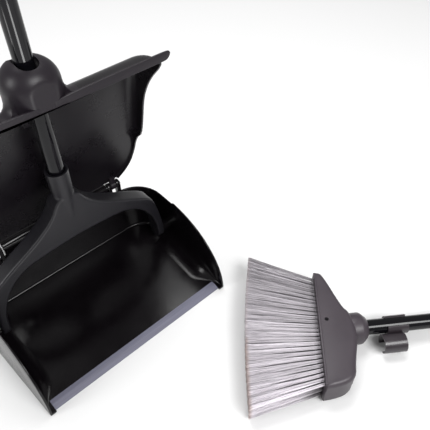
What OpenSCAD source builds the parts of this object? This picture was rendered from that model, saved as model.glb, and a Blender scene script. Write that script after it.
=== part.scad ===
// Upright dustpan with a hinged hood and a tilting handle, and a matching long-handled angle brush.
// Origin: middle of the pan's flat underside. +X to the pan's right, +Y to its back, +Z up.
// The brush lies on the same floor, in front and to the right of the pan.

/* [Pan] */
// Width of the pan across its lip
pan_front_w = 314; // [306:1:318]
// Width of the pan across the handle pivots
pan_pivot_w = 330; // [328:1:334]
// Height of the side walls at their highest
wall_h = 100; // [98:1:101]
// Thickness of the moulded walls
wall_t = 2.8; // [2.4:0.1:3]
// Width of the rubber lip strip
lip_w = 296; // [280:1:300]

/* [Handle] */
// Height of the pan's handle above the floor
handle_h = 930; // [900:5:960]
// Outside diameter of both steel tubes
tube_d = 22; // [21.9:0.1:22]
// Wall of the steel tubes
tube_t = 1; // [0.8:0.1:1.2]

/* [Hood] */
// Half of the hood's width at its middle height
hood_half_w = 150; // [149:0.5:151]
// Height of the hood's top when it stands open
hood_top_z = 354; // [353:0.5:355]
// Half length of the flared rim along the hood's front
rim_half_w = 170; // [168:1:174]

/* [Brush] */
// Length of the brush from its bristle tips to the end of its grip
brush_len = 870; // [840:5:900]
// Number of tufts in each of the three rows
tuft_count = 26; // [22:1:26]
// Length of the bristles outside the head
bristle_len = 99; // [92:1:104]
// Thickness of the brush head
head_t = 48; // [48:1:49]

/* [Hidden] */

$fn = 64;
eps = 0.01;
run_gap = 0.08;
fit_gap = 0.05;
r_tube = tube_d / 2;

// Pan, measured from the origin under its middle
lip_y = 110;
pivot_y = 39;
pivot_z = 28;
back_y = 98;
floor_t = 3;
rear_corner_r = 50;
wall_taper = 0.965;
rear_step = 5;
hinge_y = 95;
hinge_z = 116;
hinge_x = 102;
ear_t = 6;
rail_half = 89;
pin_r = 2;
arm_pin_r = 4;
lip_d = 15;
lip_back = 3;

// Yoke
yoke_t = 26;
socket_r = 15.6;
socket_top = 248;
tube_foot = 190;
boss_in = 135;
boss_out = 147;

// Hood
hood_t = 2.5;
hood_foot_z = 126;
rim_y = 10;
rim_z0 = 352;
rim_z1 = 365;
hood_back_r = 45;
dome_y = 38;
dome_r = 34;
dome_top = 404;
dome_round = 28;
dome_foot_z = 300;

// Grips
grip_len = 128;
grip_r = 15;
cap_len = 34;
hang_r = 4.5;

// Brush: its own axes have X along the tube towards the grip and Y across the head
sock_x = 250;
sock_y = -315;
brush_turn = -35.6;
brush_z = head_t / 2;
edge_mid = [-72.5, -1];
edge_turn = 171.35;
block_half = 87;
tuft_r = 2.7;
tuft_depth = 7.5;
row_dz = 13;
clip_r = 13.6;
clip_pitch = 26.4;
clip_droop = 15;

// ---- helpers ----
function arc(c, r, a0, a1, n) =
    [for (i = [0:n]) let (a = a0 + (a1 - a0) * i / n) c + r * [cos(a), sin(a)]];
function both_sides(pts) =
    concat(pts, [for (i = [len(pts) - 1:-1:0]) [-pts[i][0], pts[i][1]]]);

// A profile given as [y, z] points, drawn out along X from x0 to x1
module along_x(pts, x0, x1) {
    translate([x0, 0, 0])
        rotate([90, 0, 90])
            linear_extrude(x1 - x0)
                polygon(pts);
}
// An outline given as [x, z] points, drawn out along Y from y0 to y1
module along_y(pts, y0, y1) {
    translate([0, y1, 0])
        rotate([90, 0, 0])
            linear_extrude(y1 - y0)
                polygon(pts);
}
module rod_x(x0, x1, r) {
    translate([x0, 0, 0])
        rotate([0, 90, 0])
            cylinder(h = x1 - x0, r = r);
}
module both_mirror() {
    children();
    mirror([1, 0, 0])
        children();
}

// ---- pan ----
function pan_plan(inset, front) = both_sides(concat(
    [[pan_front_w / 2 - inset, -front], [pan_pivot_w / 2 - inset, 19]],
    arc([pan_pivot_w / 2 - rear_corner_r, back_y - rear_corner_r], rear_corner_r - inset, 0, 90, 8)));

// Side view of the walls: a rounded rise from the lip, a flat crest, then a low step to the back
crest_pow = 2.2;
function crest_z(y) = wall_h * pow(1 - pow(abs(y) / lip_y, crest_pow), 1 / crest_pow);
wall_profile = concat(
    [[-lip_y, 0]],
    [for (a = [10:10:90]) let (y = -lip_y * cos(a)) [y, crest_z(y)]],
    [[14, wall_h], [18, wall_h - rear_step], [back_y + 1, wall_h - rear_step], [back_y + 1, 0]]);

module pan_block(inset, front, z0) {
    intersection() {
        linear_extrude(height = wall_h, scale = [wall_taper, 1], slices = 1)
            polygon(pan_plan(inset, front));
        translate([-200, -200, z0])
            cube([400, 400, 200]);
    }
}
module hinge_ear(x) {
    translate([x - ear_t / 2, hinge_y, hinge_z])
        rod_x(0, ear_t, 7);
    translate([x - ear_t / 2, hinge_y - 7, wall_h - rear_step - 20])
        cube([ear_t, 10 - eps, hinge_z - wall_h + rear_step + 20]);
}
module pan_shell() {
    color("#15141a")
        difference() {
            union() {
                difference() {
                    intersection() {
                        pan_block(0, lip_y, 0);
                        along_x(wall_profile, -200, 200);
                    }
                    pan_block(wall_t, lip_y + 20, floor_t);
                }
                // raised rail between the hinges, with a round bead along its top
                along_x([[93, 80], [98, 80], [99, 112], [94, 112]], -rail_half, rail_half);
                translate([0, hinge_y, hinge_z])
                    rod_x(-rail_half, rail_half, 8);
                both_mirror() {
                    hinge_ear(hinge_x - 8);
                    hinge_ear(hinge_x + 8);
                    // boss for the arm's pivot pin
                    translate([0, pivot_y, pivot_z])
                        rod_x(boss_out + 0.5, pan_pivot_w / 2 - 4, 10);
                }
            }
            // seat for the rubber strip
            translate([-lip_w / 2 - fit_gap, -lip_y - 1, -1])
                cube([lip_w + 2 * fit_gap, lip_back + 6 + 1 + fit_gap, 10]);
            translate([-lip_w / 2 - fit_gap, -lip_y - 1, 1.3])
                cube([lip_w + 2 * fit_gap, lip_back + lip_d + 1 + fit_gap, 10]);
            both_mirror() {
                translate([0, pivot_y, pivot_z])
                    rod_x(boss_out - 1, pan_pivot_w / 2 + 5, arm_pin_r + fit_gap);
                translate([0, hinge_y, hinge_z])
                    rod_x(hinge_x - 20, hinge_x + 20, pin_r + fit_gap);
            }
        }
}
module lip_strip() {
    color("#6e6c7a")
        translate([0, lip_back - lip_y, 0])
            along_x([
                [0, 0], [0.4, 1.5], [lip_d, 4.4], [lip_d, 1.3], [6, 1.3], [6, 0]],
                -lip_w / 2, lip_w / 2);
}
module arm_pivot_pins() {
    color("#1d1c21")
        both_mirror()
            translate([0, pivot_y, pivot_z]) {
                rod_x(boss_in + 1, pan_pivot_w / 2, arm_pin_r);
                rod_x(pan_pivot_w / 2 - 1, pan_pivot_w / 2 + 1.5, 7);
            }
}
module hood_hinge_pins() {
    color("silver")
        both_mirror()
            translate([0, hinge_y, hinge_z]) {
                rod_x(hinge_x - 12, hinge_x + 12, pin_r);
                rod_x(hinge_x + 11 + fit_gap, hinge_x + 13, 3.6);
            }
}

// ---- tilting handle ----
yoke_half = [
    [0, 132], [72, 128], [96, 118], [112, 103], [126, 80], [133, 55], [135, 28],
    [147, 28], [146, 49], [140.5, 82], [132, 113], [124, 122], [100, 137],
    [61, 158], [29, 182], [16, 208], [0, 208]];
yoke_inner = [
    [0, 135], [73, 131], [98, 121], [115, 105], [129, 80], [136, 55], [137.5, 42],
    [143.5, 42], [143, 49], [137.5, 81], [129.5, 111], [122, 119], [99, 134],
    [60, 155], [27, 180], [14, 204], [0, 204]];
module yoke() {
    color("#29272d")
        difference() {
            union() {
                difference() {
                    along_y(both_sides(yoke_half), pivot_y - yoke_t / 2, pivot_y + yoke_t / 2);
                    along_y(both_sides(yoke_inner), pivot_y - yoke_t / 2 + 4, pivot_y + yoke_t / 2 + 1);
                }
                translate([0, pivot_y, 133])
                    cylinder(h = socket_top - 133, r1 = 12.9, r2 = socket_r);
                both_mirror()
                    translate([0, pivot_y, pivot_z])
                        rod_x(boss_in, boss_out, 11);
            }
            translate([0, pivot_y, tube_foot])
                cylinder(h = 100, r = r_tube + fit_gap);
            both_mirror()
                translate([0, pivot_y, pivot_z])
                    rod_x(boss_in - 1, boss_out + 1, arm_pin_r + run_gap);
            yoke_screw_place()
                screw_space();
        }
}
// Screws that hold the tubes: local +Z points out of the socket, z = 0 on the socket's axis
screw_r = 1.6;
screw_seat = 13;
module yoke_screw_place() {
    translate([0, pivot_y, 228])
        rotate([-90, 0, 0])
            children();
}
module screw_space() {
    cylinder(h = 40, r = screw_r + fit_gap);
    translate([0, 0, screw_seat])
        cylinder(h = 40, r = 3.4);
}
module tube_screw() {
    color("silver")
        difference() {
            union() {
                translate([0, 0, 7])
                    cylinder(h = screw_seat - 7 + eps, r = screw_r);
                translate([0, 0, screw_seat])
                    cylinder(h = 2.2, r = 3.2);
            }
            cross_slot(screw_seat + 1.2, 4);
        }
}
module cross_slot(z, w) {
    for (a = [0, 90])
        rotate([0, 0, a])
            translate([-w / 2, -0.4, z])
                cube([w, 0.8, 5]);
}
module yoke_screw() {
    yoke_screw_place()
        tube_screw();
}
// Steel tube drawn along +Z, with a hole for its screw
module steel_tube(len, screw_z, screw_dir) {
    color("#101014")
        difference() {
            cylinder(h = len, r = r_tube);
            translate([0, 0, -1])
                cylinder(h = len + 2, r = r_tube - tube_t);
            translate([0, 0, screw_z])
                rotate(screw_dir)
                    cylinder(h = 20, r = screw_r + fit_gap);
        }
}
pan_tube_len = handle_h - cap_len - 4 - tube_foot;
module pan_tube() {
    translate([0, pivot_y, tube_foot])
        steel_tube(pan_tube_len, 228 - tube_foot, [-90, 0, 0]);
}
// Moulded sleeve over the end of a tube. z = 0 is the tube's end
module grip() {
    color("#232127")
        difference() {
            rotate_extrude()
                polygon([
                    [r_tube + fit_gap, -grip_len], [r_tube + 2, -grip_len], [grip_r, -grip_len + 14],
                    [grip_r - 1, -grip_len / 2], [grip_r, -8], [grip_r, 4], [r_tube + fit_gap, 4]]);
            for (z = [-grip_len + 24:12:-14])
                translate([0, 0, z])
                    grip_groove();
        }
}
module grip_groove() {
    rotate_extrude()
        translate([grip_r + 1.2, 0])
            circle(r = 2.2, $fn = 24);
}
// End cap with a plug inside the tube and a tab with a hanging hole
module grip_cap() {
    color("#232127")
        difference() {
            union() {
                translate([0, 0, -20])
                    cylinder(h = 24, r = r_tube - tube_t - fit_gap);
                translate([0, 0, 4])
                    cylinder(h = 7, r = grip_r);
                translate([-12, -5, 10])
                    cube([24, 10, 12]);
                translate([0, 5, 22])
                    rotate([90, 0, 0])
                        cylinder(h = 10, r = 12);
            }
            translate([0, 6, 22])
                rotate([90, 0, 0])
                    cylinder(h = 12, r = hang_r);
        }
}
module pan_grip_place() {
    translate([0, pivot_y, tube_foot + pan_tube_len])
        children();
}
module pan_grip() {
    pan_grip_place()
        grip();
}
module pan_grip_cap() {
    pan_grip_place()
        grip_cap();
}

// ---- hood ----
// Front view of the hood, narrower at the hinges
function hood_front(t) = both_sides([
    [113 - t, hood_foot_z], [127 - t, 136], [139 - t, 150], [147 - t, 171],
    [hood_half_w - t, 200], [hood_half_w - t, 305], [hood_half_w + 3 - t, 330],
    [hood_half_w + 9 - t, rim_z0], [hood_half_w + 9 - t, rim_z1 + 10]]);
// Side view: up the back, over the rounded corner, along the top, and down the cheek's curved edge
hood_back_top = 71;
function hood_side(t) = concat(
    [[98 - t, hood_foot_z - 1]],
    arc([hood_back_top - hood_back_r, hood_top_z - hood_back_r], hood_back_r - t, 0, 90, 9),
    [[rim_y - 10 * min(t, 1), hood_top_z - t]]);
cheek_edge = [
    [rim_y, 346], [15, 338], [26, 324], [38, 303], [47, 282], [54, 248],
    [61, 219], [66, 208], [75, 201], [84, 180], [92, hood_foot_z - 1]];
inner_edge = [[-10, 330], [-10, hood_foot_z - 2], [98 - hood_t, hood_foot_z - 2]];
dome_slot_y0 = 18;
dome_slot_y1 = 66.6;
dome_slot_r = 12.3;
dome_slot_z = 372;
// Rounded dome, flush with the rim at its front, t inside its outer face
module dome(t, z0, y0) {
    intersection() {
        translate([0, dome_y, 0])
            rotate_extrude()
                polygon(concat(
                    [[0, z0], [dome_r - t, z0]],
                    arc([dome_r - dome_round, dome_top - dome_round], dome_round - t, 0, 90, 8),
                    [[0, dome_top - t]]));
        translate([-100, y0, 0])
            cube([200, 200, 500]);
    }
}

module hood_shell() {
    color("#17161b")
        difference() {
            union() {
                intersection() {
                    along_x(concat(hood_side(0), cheek_edge), -200, 200);
                    along_y(hood_front(0), -50, 150);
                }
                dome(0, rim_z0, rim_y - 3);
                // the back of the dome runs down to the rounded back corner
                dome(0, dome_foot_z, dome_y);
                hood_rim();
                both_mirror()
                    hood_knuckle();
            }
            difference() {
                intersection() {
                    along_x(concat(hood_side(hood_t), inner_edge), -200, 200);
                    along_y(hood_front(hood_t), -50, 150);
                }
                hood_knuckle_space();
            }
            dome(hood_t, dome_foot_z, rim_y - 3 + hood_t);
            // opening that the tube passes through
            for (y = [dome_slot_y0 + dome_slot_r, dome_slot_y1 - dome_slot_r])
                translate([0, y, dome_slot_z])
                    cylinder(h = 50, r = dome_slot_r);
            translate([-dome_slot_r, dome_slot_y0 + dome_slot_r, dome_slot_z])
                cube([2 * dome_slot_r, dome_slot_y1 - dome_slot_y0 - 2 * dome_slot_r, 50]);
            both_mirror()
                translate([0, hinge_y, hinge_z])
                    rod_x(hinge_x - 6, hinge_x + 6, pin_r + run_gap);
        }
}
knuckle_w = 9;
module hood_knuckle() {
    translate([0, hinge_y, hinge_z])
        rod_x(hinge_x - knuckle_w / 2, hinge_x + knuckle_w / 2, 6.5);
    translate([hinge_x - knuckle_w / 2, hinge_y - 3.5, hinge_z])
        cube([knuckle_w, 6, 16]);
}
module hood_knuckle_space() {
    both_mirror()
        translate([hinge_x - knuckle_w / 2, hinge_y - 3.5, hinge_z])
            cube([knuckle_w, 6, 16]);
}
// Flared band along the hood's front edge
module hood_rim() {
    along_y(both_sides([
        [0, rim_z0], [hood_half_w + 6, rim_z0 - 1], [hood_half_w + 14, rim_z0 - 1],
        [rim_half_w, rim_z0 + 4], [rim_half_w - 3, rim_z0 + 9], [hood_half_w, rim_z1], [0, rim_z1]]),
        rim_y - 3, rim_y + eps);
}

// ---- brush ----
module brush_plane() {
    translate([sock_x, sock_y, 0])
        rotate([0, 0, brush_turn])
            children();
}
module brush_axis() {
    brush_plane()
        translate([0, 0, brush_z])
            rotate([0, 90, 0])
                children();
}
// Axes of the slanted bristle edge: X out along the bristles, Y along the edge
module brush_edge() {
    brush_plane()
        translate(edge_mid)
            rotate([0, 0, edge_turn])
                children();
}
housing_outline = concat(
    [[-58.5, 91]],
    arc([-51.5, 83], 8, 80, 20, 4),
    [[-31, 26], [-24, 18], [-21, 0], [-23, -25], [-37, -62]],
    arc([-62, -70], 23, 5, -75, 6),
    [[-86.5, -93]]);
module housing_plan(inset) {
    offset(delta = -inset)
        polygon(housing_outline);
}
module block_plan(gap) {
    polygon([
        [0.5, -block_half - gap], [-8.5, -block_half - gap], [-14 - gap, -block_half + 20],
        [-14 - gap, block_half + gap], [0.5, block_half + gap]]);
}
socket_len = 48;
module brush_housing() {
    color("#45424a")
        difference() {
            union() {
                difference() {
                    brush_plane()
                        linear_extrude(head_t)
                            housing_plan(0);
                    intersection() {
                        brush_plane()
                            translate([0, 0, 3.5])
                                linear_extrude(head_t - 7)
                                    housing_plan(3.5);
                        brush_edge()
                            translate([-113.9, -150, -1])
                                cube([100, 300, 100]);
                    }
                }
                brush_axis()
                    rotate_extrude()
                        polygon([[0, -socket_len], [14.5, -socket_len], [14.5, -24], [23, -24],
                                 [23, -8], [20, -3], [15, 0], [0, 0]]);
            }
            brush_edge()
                translate([0, 0, 3])
                    linear_extrude(head_t - 6)
                        block_plan(fit_gap);
            brush_axis()
                translate([0, 0, -socket_len + 3])
                    cylinder(h = 100, r = r_tube + fit_gap);
            brush_axis()
                brush_screw_place()
                    screw_space();
            block_screw_place()
                block_screw_space();
        }
}
brush_screw_z = -14;
module brush_screw_place() {
    translate([0, 0, brush_screw_z])
        rotate([0, 90, 0])
            children();
}
block_screw_at = [-10.9, -9];
module block_screw_place() {
    brush_edge()
        translate(block_screw_at)
            children();
}
module block_screw_space() {
    translate([0, 0, 28])
        cylinder(h = 50, r = 1.35);
    translate([0, 0, head_t - 3 - eps])
        cylinder(h = 10, r = 2.8);
}
module block_screw() {
    color("silver")
        block_screw_place() {
            translate([0, 0, 29])
                cylinder(h = head_t - 3 - 29 + 0.1, r = 1.3);
            difference() {
                translate([0, 0, head_t - 3])
                    cylinder(h = 1.6, r = 2.5);
                translate([0, 0, head_t - 2.2])
                    cross_slot(0, 3);
            }
        }
}
tuft_half_span = block_half - 3.5;
function tuft_y(i) = tuft_half_span * (2 * i / (tuft_count - 1) - 1);
row_z = [brush_z - row_dz, brush_z, brush_z + row_dz];
module bristle_block() {
    color("#3a373e")
        difference() {
            brush_edge()
                translate([0, 0, 3 + fit_gap])
                    linear_extrude(head_t - 6 - 2 * fit_gap)
                        block_plan(0);
            for (z = row_z)
                tuft_roots(z, tuft_r + fit_gap, 3);
            block_screw_place()
                block_screw_space();
        }
}
module tuft_roots(z, r, out) {
    for (i = [0:tuft_count - 1])
        brush_edge()
            translate([-tuft_depth, tuft_y(i), z])
                rod_x(0, tuft_depth + out, r, $fn = 8);
}
module tuft_staples() {
    color("silver")
        for (z = row_z, i = [0:tuft_count - 1])
            brush_edge()
                translate([-tuft_depth, tuft_y(i) - 1.6, z - 0.4])
                    cube([1.2, 3.2, 0.8]);
}
// One row of tufts: roots in the block that spread into a fan
fan_half = 126;
fan_bulge = 5;
row_t = row_dz - 1.2;
module bristle_row(z) {
    color("#a09ca6")
        brush_edge() {
            for (i = [0:tuft_count - 1])
                translate([-tuft_depth + 1.25, tuft_y(i), z])
                    rotate([0, 90, 0])
                        cylinder(h = tuft_depth + 1, r = tuft_r, $fn = 8);
            translate([0, 0, z - row_t / 2])
                linear_extrude(row_t)
                    polygon([
                        [1, -block_half + 1], [1, block_half - 1],
                        [bristle_len - 1, fan_half], [bristle_len + fan_bulge - 1, fan_half / 2],
                        [bristle_len + fan_bulge, 0], [bristle_len + 2, -fan_half / 2],
                        [bristle_len - 2, -fan_half]]);
        }
}
module bristle_row_bottom() {
    bristle_row(row_z[0]);
}
module bristle_row_middle() {
    bristle_row(row_z[1]);
}
module bristle_row_top() {
    bristle_row(row_z[2]);
}
module brush_tube_screw() {
    brush_axis()
        brush_screw_place()
            tube_screw();
}
head_reach = 178;
brush_tube_len = brush_len - head_reach - cap_len + socket_len - 3;
module brush_tube() {
    brush_axis()
        translate([0, 0, -socket_len + 3])
            steel_tube(brush_tube_len, brush_screw_z + socket_len - 3, [0, 90, 0]);
}
module brush_grip_place() {
    brush_axis()
        translate([0, 0, -socket_len + 3 + brush_tube_len])
            children();
}
module brush_grip() {
    brush_grip_place()
        grip();
}
module brush_grip_cap() {
    brush_grip_place()
        grip_cap();
}
// Double clip: one open ring grips the brush's tube, the other takes the pan's tube.
// Its rings are cut open by a wedge that faces the given way
module ring_wedge(mouth) {
    rotate(mouth)
        translate([0, 0, -1])
            linear_extrude(60)
                polygon([[0, 0], [30, -24], [30, 24]]);
}
module storage_clip() {
    color("#45424a")
        brush_axis()
            difference() {
                union() {
                    translate([0, 0, 29])
                        cylinder(h = 31, r = clip_r);
                    clip_ring_place()
                        translate([0, 0, 18])
                            cylinder(h = 33, r = clip_r);
                }
                translate([0, 0, 20])
                    cylinder(h = 60, r = r_tube + 0.1);
                clip_ring_place() {
                    cylinder(h = 80, r = r_tube);
                    ring_wedge(0);
                }
                difference() {
                    translate([0, 0, 28])
                        ring_wedge(180);
                    clip_ring_place()
                        cylinder(h = 80, r = clip_r);
                }
            }
}
module clip_ring_place() {
    rotate([0, 0, clip_droop])
        translate([0, -clip_pitch, 0])
            rotate([0, 0, -clip_droop])
                children();
}

pan_shell();
lip_strip();
arm_pivot_pins();
hood_hinge_pins();
yoke();
yoke_screw();
pan_tube();
pan_grip();
pan_grip_cap();
hood_shell();
brush_housing();
bristle_block();
block_screw();
tuft_staples();
bristle_row_bottom();
bristle_row_middle();
bristle_row_top();
brush_tube_screw();
brush_tube();
brush_grip();
brush_grip_cap();
storage_clip();
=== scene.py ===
# An upright dustpan with a hinged hood and a tilting handle, and the angle brush that lies beside it.
# Lengths in the code are millimetres where a name or comment says mm; Blender gets metres.
import math
import random

import bmesh
import bpy
from mathutils import Matrix, Vector


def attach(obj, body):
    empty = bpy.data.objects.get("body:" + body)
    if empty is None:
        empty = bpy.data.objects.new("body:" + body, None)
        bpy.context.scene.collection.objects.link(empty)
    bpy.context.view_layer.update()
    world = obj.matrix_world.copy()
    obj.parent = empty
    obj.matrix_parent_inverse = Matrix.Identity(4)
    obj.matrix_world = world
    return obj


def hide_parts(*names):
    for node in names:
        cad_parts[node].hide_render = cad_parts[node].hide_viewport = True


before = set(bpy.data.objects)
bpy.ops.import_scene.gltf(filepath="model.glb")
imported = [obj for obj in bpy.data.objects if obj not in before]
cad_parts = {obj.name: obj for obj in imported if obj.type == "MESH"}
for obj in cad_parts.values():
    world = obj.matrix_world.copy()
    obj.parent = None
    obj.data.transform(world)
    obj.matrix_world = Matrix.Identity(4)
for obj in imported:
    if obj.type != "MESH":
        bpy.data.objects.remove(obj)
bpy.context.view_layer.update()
MM = 0.001


# ---- finishes ----
def linear(srgb_hex):
    """An sRGB hex colour as linear RGBA."""
    parts = [int(srgb_hex[i : i + 2], 16) / 255 for i in (1, 3, 5)]
    return [p / 12.92 if p <= 0.04045 else ((p + 0.055) / 1.055) ** 2.4 for p in parts] + [1.0]


def per_metre(size_mm):
    """How many of a feature of that size fit in a metre, which is a texture's scale."""
    return 1000 / size_mm


def add(tree, kind, settings=None, links=None):
    """Adds a node. Settings are sockets by name or number, or properties; links feed sockets."""
    node = tree.nodes.new(kind)
    for key, value in (settings or {}).items():
        if isinstance(key, int) or key in node.inputs:
            node.inputs[key].default_value = value
        else:
            setattr(node, key, value)
    for key, source in (links or {}).items():
        tree.links.new(source, node.inputs[key])
    return node


def finish(name, settings, build=None):
    """A material on the principled shader. build(tree, shader, place) adds its own nodes."""
    material = bpy.data.materials.new(name)
    material.use_nodes = True
    tree = material.node_tree
    tree.nodes.clear()
    shader = add(tree, "ShaderNodeBsdfPrincipled", settings)
    add(tree, "ShaderNodeOutputMaterial", links={"Surface": shader.outputs[0]})
    place = add(tree, "ShaderNodeTexCoord").outputs["Object"]
    if build:
        build(tree, shader, place)
    return material


def moulded(ripple_mm, ripple_depth, rough_low, rough_high, dark, light, patch_mm=40):
    """Injection-moulded plastic: a faint ripple, patchy gloss and a slight drift in colour."""

    def build(tree, shader, place):
        ripple = add(
            tree,
            "ShaderNodeTexNoise",
            {"Scale": per_metre(ripple_mm), "Detail": 3.0, "Roughness": 0.6},
            {"Vector": place},
        )
        bump = add(
            tree,
            "ShaderNodeBump",
            {"Strength": 1.0, "Distance": ripple_depth * MM},
            {"Height": ripple.outputs[0]},
        )
        patches = add(
            tree,
            "ShaderNodeTexNoise",
            {"Scale": per_metre(patch_mm), "Detail": 4.0, "Roughness": 0.65},
            {"Vector": place},
        )
        gloss = add(
            tree,
            "ShaderNodeMapRange",
            {"From Min": 0.3, "From Max": 0.7, "To Min": rough_low, "To Max": rough_high},
            {"Value": patches.outputs[0]},
        )
        tint = add(
            tree,
            "ShaderNodeMix",
            {"data_type": "RGBA", 6: linear(dark), 7: linear(light)},
            {0: patches.outputs[0]},
        )
        tree.links.new(bump.outputs[0], shader.inputs["Normal"])
        tree.links.new(gloss.outputs[0], shader.inputs["Roughness"])
        tree.links.new(tint.outputs[2], shader.inputs["Base Color"])

    return build


# Gloss polypropylene from a polished mould: near black, with clear soft reflections
pan_polypropylene = finish(
    "pan_polypropylene_gloss",
    {"IOR": 1.49, "Specular IOR Level": 0.3},
    moulded(1.2, 0.006, 0.16, 0.26, "#070507", "#0d0a0d"),
)
# The hood is the same plastic from a less polished mould: broader, greyer reflections
hood_polypropylene = finish(
    "hood_polypropylene_semi_gloss",
    {"IOR": 1.49, "Specular IOR Level": 0.4},
    moulded(1.0, 0.008, 0.24, 0.34, "#0d0a0e", "#151216"),
)
# Outside, the hood's mould is etched: satin, so the dome carries one soft highlight
hood_satin = finish(
    "hood_polypropylene_satin",
    {"IOR": 1.49, "Specular IOR Level": 0.3},
    moulded(0.6, 0.012, 0.36, 0.44, "#18141a", "#201b20"),
)
# The yoke has a fine satin texture etched in its mould: charcoal, with wide dull highlights
yoke_polypropylene = finish(
    "yoke_polypropylene_satin",
    {"IOR": 1.49, "Specular IOR Level": 0.4},
    moulded(0.5, 0.02, 0.34, 0.42, "#161519", "#1d1c20"),
)
# Grips and caps: matte moulded plastic with a finger-safe grain
grip_plastic = finish(
    "grip_plastic_matte",
    {"IOR": 1.5},
    moulded(0.6, 0.05, 0.5, 0.6, "#1c1b1f", "#252429"),
)
# Brush head and clip: charcoal plastic with a sparked, matte grain that hides marks
head_plastic = finish(
    "head_plastic_sparked",
    {"IOR": 1.5, "Specular IOR Level": 0.45},
    moulded(0.7, 0.05, 0.38, 0.48, "#332d33", "#3f383e"),
)
# The clip is drawn out of a smoother grade of the same plastic, so it is darker and glossier
clip_plastic = finish(
    "clip_plastic_smooth",
    {"IOR": 1.5, "Specular IOR Level": 0.5},
    moulded(0.8, 0.02, 0.26, 0.36, "#262125", "#312b30"),
)
# Acetal pins: self-coloured black with a waxy sheen
pin_acetal = finish(
    "pin_acetal",
    {"IOR": 1.48},
    moulded(0.8, 0.01, 0.34, 0.42, "#131216", "#1b1a1e"),
)


def coated_steel_nodes(tree, shader, place):
    # Sprayed enamel levels out, with only a very faint orange peel of about 3 mm
    peel = add(
        tree,
        "ShaderNodeTexNoise",
        {"Scale": per_metre(3), "Detail": 2.0},
        {"Vector": place},
    )
    bump = add(
        tree,
        "ShaderNodeBump",
        {"Strength": 1.0, "Distance": 0.004 * MM},
        {"Height": peel.outputs[0]},
    )
    tint = add(
        tree,
        "ShaderNodeMix",
        {"data_type": "RGBA", 6: linear("#08080a"), 7: linear("#0e0d11")},
        {0: peel.outputs[0]},
    )
    tree.links.new(bump.outputs[0], shader.inputs["Normal"])
    tree.links.new(tint.outputs[2], shader.inputs["Base Color"])


# Tubes: gloss black enamel on steel, which shows each lamp as a sharp bright line
coated_steel = finish(
    "coated_steel_gloss",
    {"Roughness": 0.08, "IOR": 1.5, "Specular IOR Level": 0.28},
    coated_steel_nodes,
)


def lip_rubber_nodes(tree, shader, place):
    # Drawn lines run along the strip, because it is extruded: about 1 mm across and 90 mm long
    stretch = add(
        tree,
        "ShaderNodeMapping",
        {"Scale": (0.01, 1.0, 1.0)},
        {"Vector": place},
    )
    lines = add(
        tree,
        "ShaderNodeTexNoise",
        {"Scale": per_metre(0.9), "Detail": 2.0},
        {"Vector": stretch.outputs[0]},
    )
    tint = add(
        tree,
        "ShaderNodeMix",
        {"data_type": "RGBA", 6: linear("#4f4f5c"), 7: linear("#727284")},
        {0: lines.outputs[0]},
    )
    bump = add(
        tree,
        "ShaderNodeBump",
        {"Strength": 1.0, "Distance": 0.05 * MM},
        {"Height": lines.outputs[0]},
    )
    tree.links.new(bump.outputs[0], shader.inputs["Normal"])
    tree.links.new(tint.outputs[2], shader.inputs["Base Color"])


# Extruded thermoplastic rubber: dull mauve grey with lengthwise lines
lip_rubber = finish("lip_rubber_extruded", {"Roughness": 0.55, "IOR": 1.5}, lip_rubber_nodes)


def zinc_nodes(tree, shader, place):
    grain = add(
        tree,
        "ShaderNodeTexNoise",
        {"Scale": per_metre(0.8), "Detail": 3.0},
        {"Vector": place},
    )
    rough = add(
        tree,
        "ShaderNodeMapRange",
        {"To Min": 0.24, "To Max": 0.42},
        {"Value": grain.outputs[0]},
    )
    tint = add(
        tree,
        "ShaderNodeMix",
        {"data_type": "RGBA", 6: linear("#9a9ca0"), 7: linear("#c0c2c6")},
        {0: grain.outputs[0]},
    )
    tree.links.new(rough.outputs[0], shader.inputs["Roughness"])
    tree.links.new(tint.outputs[2], shader.inputs["Base Color"])


# Zinc-plated steel: screws, pins and staples, bright with a fine spangle
zinc_steel = finish("zinc_plated_steel", {"Metallic": 1.0}, zinc_nodes)


# Screws of the brush head: blackened steel, lost in its holes. The ripple is uneven black oxide
black_steel = finish(
    "blackened_steel",
    {"Metallic": 1.0},
    moulded(0.8, 0.01, 0.35, 0.5, "#1a191b", "#2a292b"),
)


def bristle_nodes(tree, shader, _place):
    # The colour attribute made with the filaments runs from root to tip and differs by filament. Its
    # red channel carries painted shade, dark at the roots and darkest in the two lower rows, and
    # painted light that brightens one end of the fan
    tone_and_painted_shade = add(tree, "ShaderNodeAttribute", {"attribute_name": "filament"})
    parts = add(tree, "ShaderNodeSeparateColor", links={0: tone_and_painted_shade.outputs["Color"]})
    tint = add(
        tree,
        "ShaderNodeMix",
        {"data_type": "RGBA", 6: linear("#2c272a"), 7: linear("#ece6ed")},
        {0: parts.outputs["Red"]},
    )
    # The flagged ends hold dust and show a brownish cut
    ends = add(
        tree,
        "ShaderNodeMix",
        {"data_type": "RGBA", 7: linear("#a8938a")},
        {0: parts.outputs["Green"], 6: tint.outputs[2]},
    )
    tree.links.new(ends.outputs[2], shader.inputs["Base Color"])


# Crimped and flagged polyester filament: pale mauve grey with a soft sheen
polyester_bristle = finish(
    "polyester_bristle",
    {"Roughness": 0.5, "IOR": 1.55, "Sheen Weight": 0.15, "Sheen Roughness": 0.4},
    bristle_nodes,
)
# Sheet of seamless matte paper under the object, a pale grey that comes out white when lit
floor_paper = finish("floor_paper", {"Base Color": linear("#dedede"), "Roughness": 0.9})


# ---- making pieces ----
def soften(points, rounds=2, closed=True):
    """Cuts corners off a line of a few driving points until it runs smoothly."""
    for _ in range(rounds):
        pairs = list(zip(points, points[1:] + points[:1] if closed else points[1:]))
        cut = []
        for a, b in pairs:
            cut.append([p * 0.75 + q * 0.25 for p, q in zip(a, b)])
            cut.append([p * 0.25 + q * 0.75 for p, q in zip(a, b)])
        if not closed:
            cut = [points[0]] + cut[1:-1] + [points[-1]]
        points = cut
    return points


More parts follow.
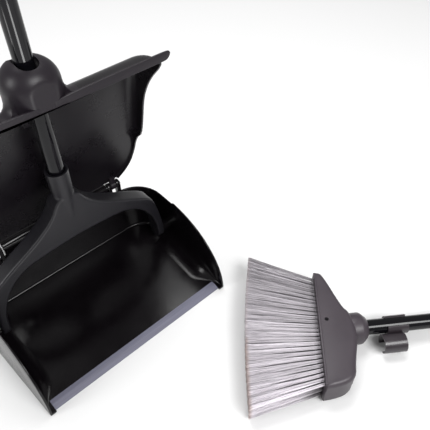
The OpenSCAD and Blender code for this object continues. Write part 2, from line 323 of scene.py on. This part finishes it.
def arc(cx, cy, radius, start, end, steps):
    """Points on an arc, angles in degrees."""
    turns = [math.radians(start + (end - start) * i / steps) for i in range(steps + 1)]
    return [[cx + radius * math.cos(t), cy + radius * math.sin(t)] for t in turns]


def both_sides(points):
    """The points, then the same ones mirrored to the left in the opposite order."""
    return points + [[-x, y] for x, y in reversed(points)]


def between(table, key):
    """The value at key on a line through (key, value) pairs in rising order."""
    if key <= table[0][0]:
        return table[0][1]
    for (k0, v0), (k1, v1) in zip(table, table[1:]):
        if key <= k1:
            return v0 + (v1 - v0) * (key - k0) / max(k1 - k0, 1e-9)
    return table[-1][1]


def ease(x):
    """Rises smoothly from 0 to 1 as x does, and stays level outside that."""
    x = min(max(x, 0.0), 1.0)
    return x * x * (3 - 2 * x)


class Work:
    """One piece being made in millimetres, as a bmesh."""

    def __init__(self):
        self.bm = bmesh.new()

    def strips(self, rings, closed=False):
        """Faces between each ring of points and the next. closed joins each ring's own ends."""
        rows = [[self.bm.verts.new(p) for p in ring] for ring in rings]
        for row, above in zip(rows, rows[1:]):
            last = len(row) if closed else len(row) - 1
            for i in range(last):
                j = (i + 1) % len(row)
                self.bm.faces.new((row[i], row[j], above[j], above[i]))
        return rows

    def turned(self, profile, place, steps=48):
        """A solid turned from (radius, height) points. place puts (x, y, height) where it goes."""
        rings = []
        for radius, height in profile:
            rings.append(
                [
                    place(radius * math.cos(t), radius * math.sin(t), height)
                    for t in (2 * math.pi * i / steps for i in range(steps))
                ]
            )
        self.strips(rings, closed=True)

    def prism(self, outline, place, low, high, bevel=0.0, segments=3):
        """An outline drawn out from low to high, with both of its rims rounded."""
        near = [self.bm.verts.new(place(a, b, low)) for a, b in outline]
        far = [self.bm.verts.new(place(a, b, high)) for a, b in outline]
        faces = [self.bm.faces.new(near), self.bm.faces.new(list(reversed(far)))]
        for i in range(len(near)):
            j = (i + 1) % len(near)
            faces.append(self.bm.faces.new((near[j], near[i], far[i], far[j])))
        bmesh.ops.recalc_face_normals(self.bm, faces=faces)
        if bevel:
            rims = [e for f in faces[:2] for e in f.edges]
            bmesh.ops.bevel(
                self.bm, geom=rims, offset=bevel, offset_type="OFFSET", segments=segments,
                profile=0.5, affect="EDGES", clamp_overlap=True,
            )

    def piece(self, name, material, body, stands_for=(), modifiers=(), smooth=38):
        """Turns the work into a finished object that rides on its body."""
        bmesh.ops.remove_doubles(self.bm, verts=self.bm.verts, dist=0.002)
        bmesh.ops.dissolve_degenerate(self.bm, edges=self.bm.edges, dist=0.001)
        bmesh.ops.recalc_face_normals(self.bm, faces=self.bm.faces)
        bmesh.ops.scale(self.bm, vec=(MM, MM, MM), verts=self.bm.verts)
        mesh = bpy.data.meshes.new(name)
        self.bm.to_mesh(mesh)
        self.bm.free()
        obj = bpy.data.objects.new(name, mesh)
        bpy.context.scene.collection.objects.link(obj)
        for kind, settings in modifiers:
            modifier = obj.modifiers.new(kind.lower(), kind)
            for key, value in settings.items():
                setattr(modifier, key, value)
        apply_modifiers(obj)
        obj.data.materials.append(material)
        round_shading(obj.data, smooth)
        if body:
            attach(obj, body)
        if stands_for:
            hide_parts(*stands_for)
        return obj


def round_shading(mesh, angle):
    """Smooth shading, with a sharp edge wherever faces meet at more than that angle."""
    mesh.polygons.foreach_set("use_smooth", [True] * len(mesh.polygons))
    mesh.set_sharp_from_angle(angle=math.radians(angle))


def apply_modifiers(obj):
    """Replaces the mesh with what its modifiers make of it."""
    if not obj.modifiers:
        return
    graph = bpy.context.evaluated_depsgraph_get()
    made = bpy.data.meshes.new_from_object(obj.evaluated_get(graph))
    obj.modifiers.clear()
    obj.data = made


def cut(obj, tool, smooth=38):
    """Takes the tool's shape out of obj, then throws the tool away."""
    modifier = obj.modifiers.new("cut", "BOOLEAN")
    modifier.operation = "DIFFERENCE"
    modifier.solver = "EXACT"
    modifier.use_self = True
    modifier.object = tool
    bpy.context.view_layer.update()
    apply_modifiers(obj)
    bpy.data.objects.remove(tool)
    round_shading(obj.data, smooth)


def along_x(y, z, x):
    """Places an outline drawn in y and z."""
    return (x, y, z)


def along_y(x, z, y):
    """Places an outline drawn in x and z."""
    return (x, y, z)


# ---- pan ----
WALL = 2.8
LIP_Y = -110
PAN_BACK = 98
PAN_CORNER = 50
PAN_HALF = 165
PAN_FRONT_HALF = 157
TAPER_LENGTH = 129
STRIP_HALF = 148
CREST_POWER = 2.2


def pan_wall_height(y):
    """Height of the side wall: a rounded crest from the lip, then a level run to the back."""
    if y >= 18:
        return 95
    if y >= 0:
        return 100 - 5 * ease((y - 10) / 8)
    return max(4.5, 100 * (1 - (y / LIP_Y) ** CREST_POWER) ** (1 / CREST_POWER))


def pan_stations():
    """Plan points round the right half from the lip to the middle of the back, with normals."""
    rows = []
    for degrees in range(0, 91, 4):
        rows.append(LIP_Y * math.cos(math.radians(degrees)))
    rows += [-92.05, -91.95, -101, 0, 6, 10, 12, 14, 16, 18, 30, 40]
    stations = []
    for y in sorted(set(rows)):
        half = PAN_FRONT_HALF + (PAN_HALF - PAN_FRONT_HALF) * min(1, (y - LIP_Y) / TAPER_LENGTH)
        stations.append((half, y, 1.0, 0.0))
    centre = (PAN_HALF - PAN_CORNER, PAN_BACK - PAN_CORNER)
    for degrees in range(0, 91, 6):
        nx, ny = math.cos(math.radians(degrees)), math.sin(math.radians(degrees))
        stations.append((centre[0] + PAN_CORNER * nx, centre[1] + PAN_CORNER * ny, nx, ny))
    for x in range(100, -1, -20):
        stations.append((x, PAN_BACK, 0.0, 1.0))
    return stations


def pan_fillet(y, height, ny):
    """Radius between floor and wall: broad along the sides, tight at the lip and the back."""
    broad = 1.2 + 28 * ease((y + 104) / 44) * (1 - 0.93 * ease(abs(ny)))
    return max(min(broad, 0.72 * (height - 5)), 1.2)


def pan_section(x, y, nx, ny):
    """One cut through the wall and half the floor, as a ring of points."""
    height = pan_wall_height(y)
    fillet = pan_fillet(y, height, ny)
    spine = (0.0, max(min(y, PAN_BACK - PAN_CORNER), -101.0))
    in_seat = y < -92
    floor_z = 1.2 if in_seat else 3.0

    def at(inset, z):
        return (x - nx * inset, y - ny * inset, z)

    foot = at(WALL + fillet, 3.0)
    if abs(x) > PAN_HALF - PAN_CORNER and y < PAN_BACK - PAN_CORNER:
        edge_x = min(STRIP_HALF + 0.05, foot[0] - 1)
        seat_edge, floor_edge = (edge_x, max(y, -101.0)), (edge_x, y)
    else:
        near = [s + (f - s) * 0.97 for s, f in zip(spine, foot)]
        seat_edge, floor_edge = near, near
    ring = [(*spine, floor_z), (*seat_edge, floor_z), (*floor_edge, 3.0)]
    for offset, rise in arc(WALL + fillet, 3 + fillet, fillet, -90, -180, 7):
        ring.append(at(offset, rise))
    top = height - WALL / 2
    for part in (0.25, 0.5, 0.75, 1.0):
        ring.append(at(WALL, 3 + fillet + (top - 3 - fillet) * part))
    for offset, rise in arc(WALL / 2, top, WALL / 2, 0, 180, 6):
        ring.append(at(offset, rise))
    for part in (0.75, 0.5, 0.25):
        ring.append(at(0, 1.5 + (top - 1.5) * part))
    ring += [at(0, 1.5), at(0.5, 0.5), at(1.5, 0)]
    ring += [(*floor_edge, 0.0), (*seat_edge, 0.0), (*spine, 0.0)]
    # The side walls lean in by 3.5% at 100 mm
    return [(px * (1 - 0.035 * pz / 100), py, pz) for px, py, pz in ring]


def make_pan():
    work = Work()
    half = [pan_section(*station) for station in pan_stations()]
    for side in (1, -1):
        rings = [[(px * side, py, pz) for px, py, pz in ring] for ring in half]
        rows = work.strips(rings)
        front = rows[0]
        work.bm.faces.new(front[2:-2])
        work.bm.faces.new((front[2], front[1], front[-2], front[-3]))
        work.bm.faces.new((front[0], front[1], front[-2], front[-1]))
    # The walls' raised rail between the hinges
    rail = [[93, 78], [98, 78]] + arc(95, 116, 8, -30, 210, 20)
    work.prism(rail, along_x, -89, 89, 0.8)
    ear = [[88, 76], [97.9, 76], [97.9, 100]] + arc(95, 116, 7, 0, 180, 14)
    for middle in (-110, -94, 94, 110):
        work.prism(ear, along_x, middle - 3, middle + 3, 0.7, 2)
    for side in (1, -1):
        boss = [(4.1, 147.5), (9, 147.5), (10, 148.5), (10, 161), (4.1, 161)]
        work.turned(boss, lambda a, b, h: (side * h, 39 + a, 28 + b), 40)
    return work.piece("pan_moulding", pan_polypropylene, "pan", ["pan_shell"])


def make_lip_strip():
    """A wedge of rubber in two facets with a groove between them, the front one steeper."""
    top = [[0.2, 0.8], [7.2, 3.7], [7.6, 3.2], [8.2, 3.7]]
    profile = [[0.1, 0.0]] + top + [[14.6, 4.35], [15, 4.0], [15, 1.3], [6, 1.3], [6, 0]]
    work = Work()
    work.prism([[y - 107, z] for y, z in profile], along_x, -STRIP_HALF, STRIP_HALF)
    return work.piece("lip_rubber_strip", lip_rubber, "pan", ["lip_strip"], smooth=25)


# ---- hood ----
HOOD_T = 2.5
HOOD_TOP = 354
BACK_TOP = 71
BACK_R = 45
HOOD_FOOT = 126
cheek_front = soften(
    [[125, 92], [180, 84], [201, 75], [208, 66], [219, 61], [248, 54], [282, 47],
     [303, 38], [324, 26], [338, 15], [346, 10], [356, 10]],
    1, closed=False,
)
hood_half_table = soften(
    [[126, 113], [136, 127], [150, 139], [171, 147], [200, 150], [305, 150], [330, 153],
     [352, 159], [360, 159]],
    2, closed=False,
)


def hood_back(z):
    """How far back the hood's outer face is at height z."""
    rise = z - (HOOD_TOP - BACK_R)
    if rise <= 0:
        return BACK_TOP + (98 - BACK_TOP) * -rise / (HOOD_TOP - BACK_R - HOOD_FOOT)
    return BACK_TOP - BACK_R + math.sqrt(max(BACK_R**2 - rise**2, 0))


def hood_slice(z):
    """The hood's outline at height z, from the right cheek's front edge round to the left's."""
    half, back, front = between(hood_half_table, z), hood_back(z), between(cheek_front, z)
    shoulder = 8
    if z > HOOD_TOP - shoulder:
        rise = z - (HOOD_TOP - shoulder)
        half -= shoulder - math.sqrt(max(shoulder**2 - rise**2, 0))
    corner = min(17, 0.85 * (back - front))
    right = [[half, front + (back - corner - front) * i / 6] for i in range(6)]
    right += arc(half - corner, back - corner, corner, 0, 90, 9)
    right += [[(half - corner) * (1 - i / 10), back] for i in range(1, 10)]
    return right + [[0, back]] + [[-x, y] for x, y in reversed(right)]


def hood_top_z(y):
    """Height of the hood's roof, which rolls over into its back."""
    if y < BACK_TOP - BACK_R:
        return HOOD_TOP
    return HOOD_TOP - BACK_R + math.sqrt(max(BACK_R**2 - (y - BACK_TOP + BACK_R) ** 2, 0))


DOME_Y = 38
DOME_R = 34
DOME_TOP = 404
DOME_ROUND = 28
SLOT_R = 12.3
SLOT_FRONT = 30.3
SLOT_BACK = 54.3


def slot_edge(dx, dy):
    """Distance from the dome's middle to the edge of the tube's slot, in that direction."""
    low, high = 5.0, 40.0
    for _ in range(30):
        reach = (low + high) / 2
        x, y = dx * reach, DOME_Y + dy * reach
        nearest = min(max(y, SLOT_FRONT), SLOT_BACK)
        if math.hypot(x, y - nearest) < SLOT_R:
            low = reach
        else:
            high = reach
    return low


def dome_line(degrees):
    """The dome's outer face from the slot's edge down to the hood, in one direction."""
    dx, dy = math.cos(math.radians(degrees)), math.sin(math.radians(degrees))
    flat = DOME_R - DOME_ROUND
    start = slot_edge(dx, dy)
    first = math.degrees(math.acos(min(1, max(0, (start - flat) / DOME_ROUND))))
    line = arc(flat, DOME_TOP - DOME_ROUND, DOME_ROUND, first, 0, 10)
    flare = 18 * (1 - max(dy, 0)) if dy > -0.5 else 0
    foot_y = DOME_Y + (DOME_R + flare) * dy
    foot_z = hood_top_z(foot_y) if foot_y < 70.5 else 303
    foot_z = min(foot_z, 362 if dy < -0.5 else HOOD_TOP) - 0.3
    bend = min(20, DOME_TOP - DOME_ROUND - foot_z - 2)
    line.append([DOME_R, (DOME_TOP - DOME_ROUND + foot_z + bend) / 2])
    for t in (0, 0.2, 0.4, 0.6, 0.8, 1.0):
        out = DOME_R + flare * t * t
        line.append([out, foot_z + bend * (1 - t) ** 2])
    points = []
    for reach, z in line:
        points.append((dx * reach, max(DOME_Y + dy * reach, 7.3), z))
    return points


def make_hood():
    work = Work()
    heights = [HOOD_FOOT, 130, 135, 141, 148, 156, 165, 175, 186, 195, 203, 210, 218, 228, 240]
    heights += list(range(255, 310, 12)) + list(range(311, 345, 5))
    heights += [HOOD_TOP - 8 * (1 - math.sin(math.radians(a))) for a in range(0, 91, 15)]
    rings = [[(x, y, z) for x, y in hood_slice(z)] for z in heights]
    rows = work.strips(rings)
    work.bm.faces.new(rows[-1])
    shell = work.piece(
        "hood_moulding",
        hood_polypropylene,
        None,
        modifiers=[("SOLIDIFY", {"thickness": HOOD_T * MM, "offset": -1, "use_even_offset": True})],
    )
    hole = Work()
    hole.turned([(0, 290), (31, 290), (31, 440), (0, 440)], lambda a, b, h: (a, DOME_Y + b, h), 64)
    cut(shell, hole.piece("dome_hole", hood_polypropylene, None))

    dome = Work()
    lines = [dome_line(d) for d in range(0, 360, 5)]
    dome.strips([[line[i] for line in lines] for i in range(len(lines[0]))], closed=True)
    dome = dome.piece(
        "hood_dome",
        hood_satin,
        "hood",
        modifiers=[("SOLIDIFY", {"thickness": HOOD_T * MM, "offset": -1})],
    )
    rim = Work()
    band = [[0, 353], [153, 352], [163, 352], [168, 355], [170.5, 360], [169, 363], [163, 363.5],
            [150, 364], [0, 364]]
    band = soften(band, 2)
    outline = both_sides([p for p in band if p[0] > 0.5])
    rim.prism(outline, along_y, 7, 10.2, 1.1, 3)
    for side in (1, -1):
        pad = [[91.5, 118], [97.5, 118], [97.5, 134], [91.5, 134]]
        rim.prism(pad, along_x, side * 102 - 4.5, side * 102 + 4.5, 0.5, 2)
        knuckle = [(2.1, -4.5), (6, -4.5), (6.5, -4), (6.5, 4), (6, 4.5), (2.1, 4.5)]
        rim.turned(knuckle, lambda a, b, h: (side * 102 + h, 95 + a, 116 + b), 40)
    rim = rim.piece("hood_rim_and_knuckles", hood_satin, "hood")
    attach(shell, "hood")
    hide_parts("hood_shell")
    return shell, dome, rim


# ---- yoke ----
yoke_outer = [
    [135, 28], [147, 28], [146, 49], [140.5, 82], [132, 113], [124, 122], [100, 137],
    [61, 158], [29, 182], [16, 208], [0, 208], [0, 132], [72, 128], [96, 118], [112, 103],
    [126, 80], [133, 55],
]
yoke_hollow = [
    [137.5, 42], [143.5, 42], [143, 49], [137.5, 81], [129.5, 111], [122, 119], [99, 134],
    [60, 155], [27, 180], [14, 204], [0, 204], [0, 135], [73, 131], [98, 121], [115, 105],
    [129, 80], [136, 55],
]


def yoke_outline(points):
    """Both arms' outline: the outer line over the top, then the inner line back underneath."""
    over = soften(points[1:11], 2, closed=False)
    under = soften(points[11:] + points[:1], 2, closed=False)
    left_over = [[-x, z] for x, z in reversed(over[:-1])]
    left_under = [[-x, z] for x, z in reversed(under[1:])]
    return over + left_over + left_under + under


def make_yoke():
    """Arms, web and socket flow into each other, so they are fused and then smoothed as one."""
    work = Work()
    work.prism(yoke_outline(yoke_outer), along_y, 26, 52, 2.2, 3)
    web = [(0, 150), (9, 150), (13.4, 172), (14.2, 200), (15.5, 250), (0, 250)]
    work.turned(web, lambda a, b, h: (a, 39 + b, h), 64)
    yoke = work.piece(
        "yoke_moulding",
        yoke_polypropylene,
        None,
        modifiers=[
            ("REMESH", {"mode": "VOXEL", "voxel_size": 1.3 * MM}),
            ("SMOOTH", {"factor": 0.5, "iterations": 6}),
        ],
        smooth=60,
    )
    hollow = Work()
    hollow.prism(yoke_outline(yoke_hollow), along_y, 30, 60)
    cut(yoke, hollow.piece("yoke_hollow", yoke_polypropylene, None))
    bore = Work()
    bore.turned([(0, 190), (11.05, 190), (11.05, 246.5), (12.4, 248), (30, 248), (30, 270),
                 (0, 270)], lambda a, b, h: (a, 39 + b, h), 64)
    cut(yoke, bore.piece("socket_bore", yoke_polypropylene, None), 50)
    bosses = Work()
    for side in (1, -1):
        boss = [(0, 135.5), (9.6, 135.5), (11, 137), (11, 145.6), (9.6, 147), (4.1, 147)]
        bosses.turned(boss, lambda a, b, h: (side * h, 39 + a, 28 + b), 40)
    bosses = bosses.piece("yoke_bosses", yoke_polypropylene, "handle")
    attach(yoke, "handle")
    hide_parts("yoke")
    return yoke, bosses


# ---- brush ----
BRUSH_AT = (250, -315)
BRUSH_TURN = -35.6
EDGE_MID = (-72.5, -1)
EDGE_TURN = 171.35
HEAD_T = 48


def brush_place(u, v, z):
    """From the brush's own plane, u along its tube and v across it, to the shared frame."""
    t = math.radians(BRUSH_TURN)
    return (
        BRUSH_AT[0] + u * math.cos(t) - v * math.sin(t),
        BRUSH_AT[1] + u * math.sin(t) + v * math.cos(t),
        z,
    )


def edge_place(out, side, z):
    """From the bristle edge, out along the bristles and side along the edge."""
    t = math.radians(EDGE_TURN)
    u = EDGE_MID[0] + out * math.cos(t) - side * math.sin(t)
    v = EDGE_MID[1] + out * math.sin(t) + side * math.cos(t)
    return brush_place(u, v, z)


def make_head():
    outline = [
        [-74, 92], [-52, 92], [-44.5, 84], [-31, 26], [-24, 18], [-21, 0], [-23, -25],
        [-37, -62], [-42, -82], [-60, -92], [-100, -94.5],
    ]
    work = Work()
    work.prism(soften(outline, 2), brush_place, 0, HEAD_T, 7, 6)
    head = work.piece("head_moulding", head_plastic, None)
    # The side towards the bristles is cut off square, and the block's pocket is cut into it
    front = Work()
    front.prism([[0, -150], [60, -150], [60, 150], [0, 150]], edge_place, -10, 60)
    cut(head, front.piece("front_cut", head_plastic, None))
    pocket = Work()
    pocket.prism([[-14, -87.1], [5, -87.1], [5, 87.1], [-14, 87.1]], edge_place, 3, 45)
    cut(head, pocket.piece("pocket_cut", head_plastic, None))
    screw_hole = Work()
    screw_hole.turned(
        [(0, 40), (3, 40), (3, 60), (0, 60)],
        lambda a, b, h: edge_place(-10.9 + a, -9 + b, h),
        32,
    )
    cut(head, screw_hole.piece("screw_hole", head_plastic, None))
    trim = Work()
    # Flange round the block, and the collar that takes the tube
    lip = [[-2.6, -89.5], [0.4, -89.5], [0.4, 89.5], [-2.6, 89.5]]
    trim.prism(lip, edge_place, 45.2, 48.9, 0.5, 2)
    collar = [(0, -42), (18, -42), (22.4, -27), (23, -20), (23, -11), (22.3, -8.5), (16, -1.2),
              (14.5, -0.2), (13.6, 0), (11.6, 0), (11.05, -0.6), (11.05, -20), (0, -20)]
    trim.turned(collar, lambda a, b, h: brush_place(h, a, 24 + b), 64)
    trim = trim.piece("head_flange_and_collar", head_plastic, "brush")
    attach(head, "brush")
    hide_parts("brush_housing")
    return head, trim


TUFTS = 26
TUFT_HALF_SPAN = 83.5
FAN_HALF = 123.5
BRISTLE_LEN = 100
PER_TUFT = 60
TUFT_R = 2.1
FILAMENT_R = 0.42
TIP_TAPER = 0.45
SIDES = 3
STEPS_ALONG = (0.0, 0.14, 0.32, 0.62, 0.96, 1.0)


def make_bristles(name, node, row_z, seed, root_level_in_painted_shade):
    """One row of tufts. Each filament is a thin tapering three-sided rod with a slight bend."""
    dice = random.Random(seed)
    verts, faces, tones_and_painted_shades = [], [], []
    for tuft in range(TUFTS):
        root = TUFT_HALF_SPAN * (2 * tuft / (TUFTS - 1) - 1)
        tuft_shade = dice.uniform(-0.06, 0.06)
        for _ in range(PER_TUFT):
            turn, out = dice.uniform(0, 2 * math.pi), TUFT_R * math.sqrt(dice.random())
            own_y, z0 = out * math.cos(turn), row_z + out * math.sin(turn)
            spread = (root / TUFT_HALF_SPAN) * (FAN_HALF - 3)
            end_y = own_y * 0.9 + dice.gauss(0, 2.1)
            y1 = min(max(spread + end_y, -FAN_HALF), FAN_HALF)
            z1 = row_z + out * math.sin(turn) * 1.6 + dice.gauss(0, 1.5)
            z1 = min(max(z1, row_z - 6.5), row_z + 6.5)
            reach = BRISTLE_LEN + 5 * (1 - (y1 / FAN_HALF) ** 2) - abs(dice.gauss(0, 1.1))
            sag = dice.gauss(0, 0.5)
            first = len(verts)
            # Tone varies at random by tuft and filament; the rise with y1 is painted light, brighter
            # towards the +y1 end of the fan
            light = 0.60 + 0.2 * y1 / FAN_HALF + tuft_shade + dice.uniform(-0.2, 0.2)
            for t in STEPS_ALONG:
                x = -2 + (reach + 2) * t
                bow = sag * math.sin(math.pi * t)
                # Tufts lean straight out along the fan; their filaments part only after the root
                open_out = t**1.6
                y = root + (spread - root) * t + own_y + (end_y - own_y) * open_out + bow
                y = min(max(y, -FAN_HALF), FAN_HALF)
                z = z0 + (z1 - z0) * open_out + bow * 0.5
                radius = FILAMENT_R * (1 - TIP_TAPER * t)
                for k in range(SIDES):
                    a = turn + 2 * math.pi * k / SIDES
                    verts.append(edge_place(x, y + radius * math.cos(a), z + radius * math.sin(a)))
                    # Painted shade at the root: filaments start at their row's root level and reach
                    # full tone 45% of the way out
                    painted_root_shade = root_level_in_painted_shade + (1 - root_level_in_painted_shade) * ease((t - 0.05) / 0.4)
                    tip = ease((t - 0.97) / 0.03) * (0.8 if y1 > 20 else 0.2)
                    tones_and_painted_shades.append((min(max(light * painted_root_shade, 0), 1), tip, 0.0, 1.0))
            for ring in range(len(STEPS_ALONG) - 1):
                start = first + SIDES * ring
                for k in range(SIDES):
                    a, b = start + k, start + (k + 1) % SIDES
                    faces.append((a, b, b + SIDES, a + SIDES))
            last = first + SIDES * (len(STEPS_ALONG) - 1)
            faces += [(first + 2, first + 1, first), (last, last + 1, last + 2)]
    mesh = bpy.data.meshes.new(name)
    mesh.from_pydata([[c * MM for c in v] for v in verts], [], faces)
    tone_and_painted_shade = mesh.color_attributes.new("filament", "FLOAT_COLOR", "POINT")
    tone_and_painted_shade.data.foreach_set("color", [c for s in tones_and_painted_shades for c in s])
    mesh.materials.append(polyester_bristle)
    obj = bpy.data.objects.new(name, mesh)
    bpy.context.scene.collection.objects.link(obj)
    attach(obj, "brush")
    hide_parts(node)
    return obj


pan = make_pan()
strip = make_lip_strip()
hood_pieces = make_hood()
yoke_pieces = make_yoke()
head_pieces = make_head()
# The last number is how light each row stays at its root under painted shade: the two lower rows are
# painted near black there, the top row a little darker
rows = [
    make_bristles("bristles_bottom", "bristle_row_bottom", 11, 11, 0.0),
    make_bristles("bristles_middle", "bristle_row_middle", 24, 12, 0.05),
    make_bristles("bristles_top", "bristle_row_top", 37, 13, 0.7),
]

# ---- finishes of the parts that keep their shape ----
kept = {
    pin_acetal: ["arm_pivot_pins"],
    zinc_steel: ["hood_hinge_pins", "yoke_screw", "tuft_staples"],
    black_steel: ["block_screw", "brush_tube_screw"],
    coated_steel: ["pan_tube", "brush_tube"],
    grip_plastic: ["pan_grip", "pan_grip_cap", "brush_grip", "brush_grip_cap"],
    head_plastic: ["bristle_block"],
    clip_plastic: ["storage_clip"],
}
for material, names in kept.items():
    for name in names:
        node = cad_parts[name]
        if not node.data.materials:
            node.data.materials.append(material)
        for place in node.material_slots:
            place.material = material


# ---- studio ----
def make_floor():
    mesh = bpy.data.meshes.new("floor")
    size = 6.0
    gap = 0.0002
    corners = [(-size, -size, 0), (size, -size, 0), (size, size, 0), (-size, size, 0)]
    mesh.from_pydata([(x, y, z - gap) for x, y, z in corners], [], [(0, 1, 2, 3)])
    mesh.materials.append(floor_paper)
    floor = bpy.data.objects.new("floor", mesh)
    bpy.context.scene.collection.objects.link(floor)


def lamp(name, place, target, size, power, turn=0.0):
    """A soft box: a rectangular area light that faces its target, turned about that line."""
    light = bpy.data.lights.new(name, "AREA")
    light.shape = "RECTANGLE"
    light.size, light.size_y = size
    light.energy = power
    obj = bpy.data.objects.new(name, light)
    obj.location = place
    facing = (Vector(target) - Vector(place)).to_track_quat("-Z", "Y").to_matrix()
    obj.rotation_euler = (facing @ Matrix.Rotation(math.radians(turn), 3, "Z")).to_euler()
    obj.visible_camera = False
    bpy.context.scene.collection.objects.link(obj)


make_floor()
lamp("overhead_box", (0.45, 0.75, 2.3), (0.1, -0.1, 0.1), (1.5, 1.0), 38)
lamp("front_box", (0.1, -1.6, 1.75), (0.15, -0.3, 0.1), (1.2, 0.8), 44)
lamp("left_strip", (-1.6, 0.4, 1.1), (0.1, -0.05, 0.1), (0.7, 0.9), 14)
# Two low strips face up beside the picture, to give the upright tube its long bright lines
lamp("low_strip_front", (-0.19, -0.83, 0.01), (-0.19, -0.83, 1.0), (0.42, 0.26), 4.2, -84)
lamp("low_strip_side", (-0.86, -0.10, 0.01), (-0.86, -0.10, 1.0), (0.33, 0.20), 1.2, -15)

world = bpy.data.worlds.new("studio_white")
world.use_nodes = True
backdrop = world.node_tree.nodes["Background"]
backdrop.inputs["Color"].default_value = linear("#ffffff")
backdrop.inputs["Strength"].default_value = 0.35
bpy.context.scene.world = world
bpy.context.scene.view_settings.view_transform = "Standard"

# Camera: above and to the left of the pan's lip, looking down at 47 degrees
right = Vector((0.7416, -0.6709, 0.0))
forward = Vector((0.4592, 0.5076, -0.7290)).normalized()
up = right.cross(forward)
lens = bpy.data.cameras.new("camera")
lens.sensor_width = 36
lens.lens = 43.53
camera = bpy.data.objects.new("camera", lens)
axes = Matrix((right, up, -forward)).transposed().to_4x4()
camera.matrix_world = Matrix.Translation((-0.1821, -0.4644, 0.6910)) @ axes
bpy.context.scene.collection.objects.link(camera)
bpy.context.scene.camera = camera
